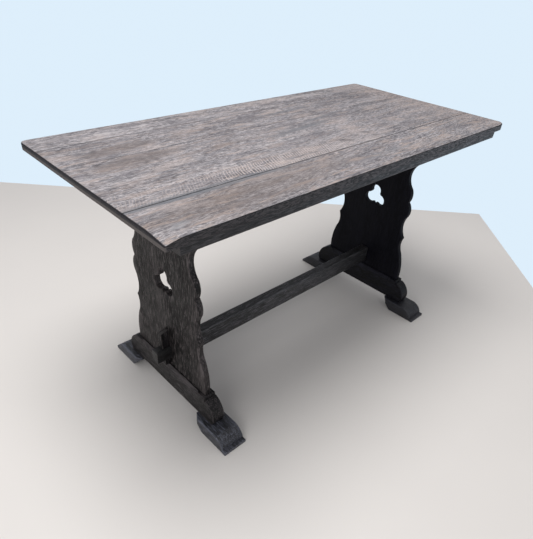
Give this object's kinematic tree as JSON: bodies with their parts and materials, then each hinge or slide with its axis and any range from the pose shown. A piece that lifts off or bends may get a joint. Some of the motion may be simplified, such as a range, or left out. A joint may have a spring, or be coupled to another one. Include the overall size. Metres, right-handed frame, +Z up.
{
  "type": "trestle table",
  "caption": "Oak trestle table: boarded top on shaped slab ends with trefoil cut-outs, sledge feet and a low stretcher locked by loose tusk wedges.",
  "frame": {"origin": "on the floor, under the middle of the top", "axes": "+X along the top, +Y towards the back, +Z up"},
  "size_m": [1.34, 0.644, 0.755],
  "materials": {
    "weathered_oak": "dry, worn, grey-brown quarter-sawn oak",
    "fumed_oak": "dark fumed and waxed oak",
    "pale_oak": "bare oak",
    "steel": "plain steel wood screw"
  },
  "bodies": {
    "table": {"top_board_front": "weathered_oak", "top_board_middle": "weathered_oak", "top_board_back": "weathered_oak", "top_board_back_edge": "weathered_oak", "edge_strip_front": "fumed_oak", "edge_strip_back": "fumed_oak", "bearer_left": "fumed_oak", "bearer_right": "fumed_oak", "slab_left": "fumed_oak", "slab_right": "fumed_oak", "rail_left": "fumed_oak", "rail_right": "fumed_oak", "foot_left_front": "fumed_oak", "foot_left_back": "fumed_oak", "foot_right_front": "fumed_oak", "foot_right_back": "fumed_oak", "stretcher": "fumed_oak", "board_dowels": "pale_oak", "bearer_pegs": "pale_oak", "strip_screws": "steel", "bearer_screws": "steel", "rail_screws": "steel", "foot_screws": "steel"},
    "wedge_left": {"wedge_left": "fumed_oak"},
    "wedge_right": {"wedge_right": "fumed_oak"}
  },
  "joints": [
    {"name": "wedge_left_lift", "type": "slide", "parent": "table", "child": "wedge_left", "axis": [0, 0, 1], "range_m": [0, 0.07]},
    {"name": "wedge_right_lift", "type": "slide", "parent": "table", "child": "wedge_right", "axis": [0, 0, 1], "range_m": [0, 0.07]}
  ]
}
